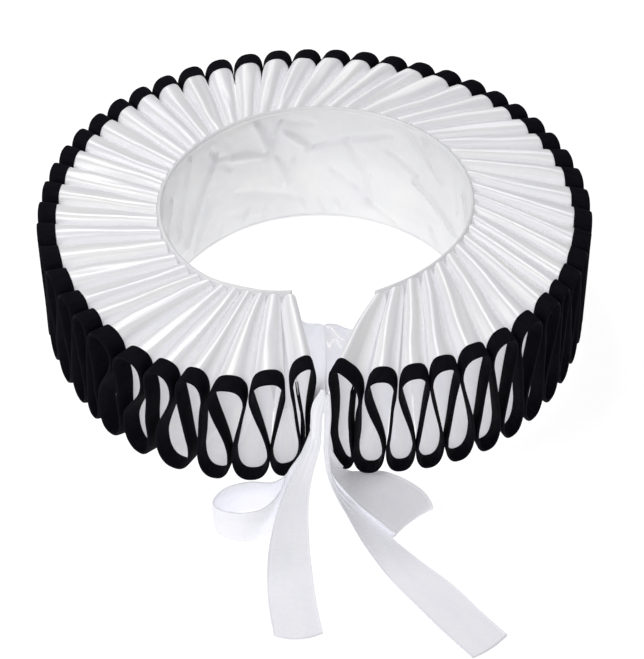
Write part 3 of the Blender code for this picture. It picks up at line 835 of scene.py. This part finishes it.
def ribbonPlacer(row):
    table = row["rows"]
    last = len(table) - 1.0
    groove, grooveWidth = ribbonCloth["selvageGroove"]

    def point(i, j):
        place = i / ribbonCloth["steps"]
        first, second = ribbonEdges(table, place)
        ahead = ribbonEdges(table, min(last, place + ribbonCloth["near"]))
        behind = ribbonEdges(table, max(0.0, place - ribbonCloth["near"]))
        along = (ahead[0] + ahead[1]) - (behind[0] + behind[1])
        v = ribbonCloth["across"][j]
        normal = along.cross(second - first).normalized()
        width = (second - first).length / mm
        arch = 4.0 * v * (1.0 - v) * row["cup"] * ease(0.0, ribbonCloth["cupWidth"], width)
        rim = abs(v - 0.5) * 2.0
        edge = ease(*ribbonCloth["selvageRise"], rim)
        edge -= ease(grooveWidth, 0.0, abs(rim - groove))
        arch += ribbonCloth["selvage"] * edge
        gather = ribbonCloth["gather"] * ease(*ribbonCloth["gatherWidths"], width)
        arch += gather * math.sin(ribbonCloth["gatherWaves"] * math.pi * v)
        spot = first.lerp(second, v) + normal * arch * mm
        bulge = row["endBulge"] * ease(last - 1.0, last, place)
        spot += along.normalized() * bulge * 4.0 * v * (1.0 - v) * mm
        spot.z = max(spot.z, ribbonCloth["lift"] * mm)
        return spot

    return point, int(last) * ribbonCloth["steps"]


for name, row in ribbons.items():
    point, count = ribbonPlacer(row)
    cut = (ribbonCloth["wide"], row["length"])
    piece = sewSheet(name + "_ribbon", count, len(ribbonCloth["across"]) - 1, point, cut,
                     ribbonCloth["wall"], ribbon)
    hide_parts(name)
print("ribbons laid")

stitching = {
    "thread": 0.30, "sides": 6, "off": 0.75, "outward": (0.0, -0.7, 0.7), "drawn": 0.96,
    # over the right tie: place along its rows and across, from lower edge to upper
    "zigzag": ((6.10, 0.95), (5.75, 0.72), (5.40, 0.48), (4.87, 0.55), (4.35, 0.62),
               (4.12, 0.49), (3.90, 0.36)),
    "hemLine": ((4.90, 0.95), (4.50, 0.91), (4.25, 0.78), (4.00, 0.66), (3.55, 0.60)),
}


def sewStitches():
    bm = bmesh.new()
    layer = bm.loops.layers.uv.new("cloth")
    radius = stitching["thread"] * mm
    for row in (stitching["zigzag"], stitching["hemLine"]):
        spots = []
        for place, v in row:
            first, second = ribbonEdges(ribbons["tie_right"]["rows"], place)
            off = Vector(stitching["outward"]) * stitching["off"] * mm
            spots.append(first.lerp(second, v) + off)
        for start, stop in zip(spots, spots[1:]):
            run = stop - start
            turn = run.to_track_quat("Z", "Y").to_matrix().to_4x4()
            bmesh.ops.create_cone(bm, cap_ends=True, segments=stitching["sides"], radius1=radius,
                                  radius2=radius, depth=run.length * stitching["drawn"],
                                  matrix=Matrix.Translation((start + stop) / 2.0) @ turn)
    for face in bm.faces:
        for corner in face.loops:
            corner[layer].uv = (corner.vert.co.x / mm, corner.vert.co.z / mm)
    return makePiece("tie_stitches", bm, thread)


stitches = sewStitches()
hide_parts("tie_right")
print("stitches sewn")


# The knot

knot = {
    "sides": 72, "steps": 6, "folds": 9, "foldDepth": 0.05,
    "twist": 0.18, "twistFrom": 60.0,      # radians for each mm below this height
    # height, x and y of the middle, half width, half depth
    "rows": (
        (60.8, 3.2, -116.0, 0.8, 0.4), (58.9, 2.8, -116.6, 1.5, 0.8),
        (56.8, 2.1, -116.9, 2.0, 1.2), (54.2, 1.4, -117.1, 2.3, 1.6),
        (51.0, 0.9, -117.4, 2.35, 1.9), (46.0, 0.6, -117.7, 2.2, 1.9),
        (41.0, 0.5, -117.8, 2.2, 2.0), (38.4, 0.2, -118.0, 2.3, 2.0),
    ),
}


def tieKnot():
    bm = bmesh.new()
    layer = bm.loops.layers.uv.new("cloth")
    rings = []
    rows = knot["rows"]
    for step in range((len(rows) - 1) * knot["steps"] + 1):
        z, x, y, halfX, halfY = rowValues(rows, step / knot["steps"])
        middle = Matrix.Translation(Vector((x + neckMiddle[0], y + neckMiddle[1], z)) * mm)
        ring = bmesh.ops.create_circle(bm, segments=knot["sides"], radius=1.0)["verts"]
        for vert in ring:
            angle = math.atan2(vert.co.y, vert.co.x) * knot["folds"]
            angle += knot["twist"] * (knot["twistFrom"] - z)
            fold = 1.0 + knot["foldDepth"] * math.cos(angle)
            spot = Vector((vert.co.x * halfX * fold * mm, vert.co.y * halfY * fold * mm, 0.0))
            vert.co = middle @ spot
        rings.append(ring)
    for lower, upper in zip(rings, rings[1:]):
        edges = [e for e in bm.edges
                 if all(v in lower for v in e.verts) or all(v in upper for v in e.verts)]
        bmesh.ops.bridge_loops(bm, edges=edges)
    bmesh.ops.holes_fill(bm, edges=[e for e in bm.edges if e.is_boundary])
    bmesh.ops.recalc_face_normals(bm, faces=bm.faces)
    for face in bm.faces:
        for corner in face.loops:
            corner[layer].uv = (corner.vert.co.z / mm, corner.vert.co.x / mm)
    return makePiece("knot_ribbon", bm, ribbon)


knotPiece = tieKnot()
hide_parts("bow_knot")
print("knot tied")


# Floor, lights and camera

stage = {
    "floorSize": 4.0,
    "target": (0.0, 0.0, 0.03),
    # place, size and power of each soft light
    "lights": {"key": ((-0.8, -0.5, 0.8), 0.4, 3.8), "over": ((-0.24, 0.48, 1.08), 0.5, 5.0),
               "front": ((0.15, -1.3, 0.95), 0.9, 4.8)},
    "sky": ((0.98, 0.98, 1.0, 1.0), 0.20),
}


def layFloor():
    bm = bmesh.new()
    bmesh.ops.create_grid(bm, x_segments=1, y_segments=1, size=stage["floorSize"])
    mesh = bpy.data.meshes.new("floor")
    bm.to_mesh(mesh)
    bm.free()
    floor = bpy.data.objects.new("floor", mesh)
    bpy.context.scene.collection.objects.link(floor)
    mesh.materials.append(mixFinish("floor", floorLook))


def hangLights():
    for name, (place, size, power) in stage["lights"].items():
        data = bpy.data.lights.new(name, "AREA")
        data.shape = "DISK"
        data.size = size
        data.energy = power
        light = bpy.data.objects.new(name, data)
        bpy.context.scene.collection.objects.link(light)
        light.location = place
        aim = Vector(stage["target"]) - Vector(place)
        light.rotation_euler = aim.to_track_quat("-Z", "Y").to_euler()


def paintSky():
    world = bpy.data.worlds.new("studio")
    world.use_nodes = True
    sky = world.node_tree.nodes["Background"]
    sky.inputs["Color"].default_value, sky.inputs["Strength"].default_value = stage["sky"]
    bpy.context.scene.world = world
    bpy.context.scene.view_settings.view_transform = "Standard"


layFloor()
hangLights()
paintSky()

view = {
    "target": (-0.6, 39.3, 11.345), "distance": 900.0, "elevation": 40.152, "roll": -0.501,
    "focal": 2021.47, "shift": (8.251, -35.453), "width": 644, "sensor": 36.0,
}


def addCamera():
    data = bpy.data.cameras.new("camera")
    camera = bpy.data.objects.new("camera", data)
    bpy.context.scene.collection.objects.link(camera)
    rise = math.radians(view["elevation"])
    target = Vector(view["target"]) * mm
    back = Vector((0.0, -math.cos(rise), math.sin(rise)))
    camera.location = target + back * view["distance"] * mm
    aim = (target - camera.location).to_track_quat("-Z", "Y").to_matrix()
    roll = Matrix.Rotation(math.radians(view["roll"]), 3, "Z")
    camera.rotation_euler = (aim @ roll).to_euler()
    data.sensor_fit = "HORIZONTAL"
    data.sensor_width = view["sensor"]
    data.lens = view["focal"] * data.sensor_width / view["width"]
    data.shift_x = view["shift"][0] / view["width"]
    data.shift_y = view["shift"][1] / view["width"]
    bpy.context.scene.camera = camera


addCamera()
print("light and camera set")
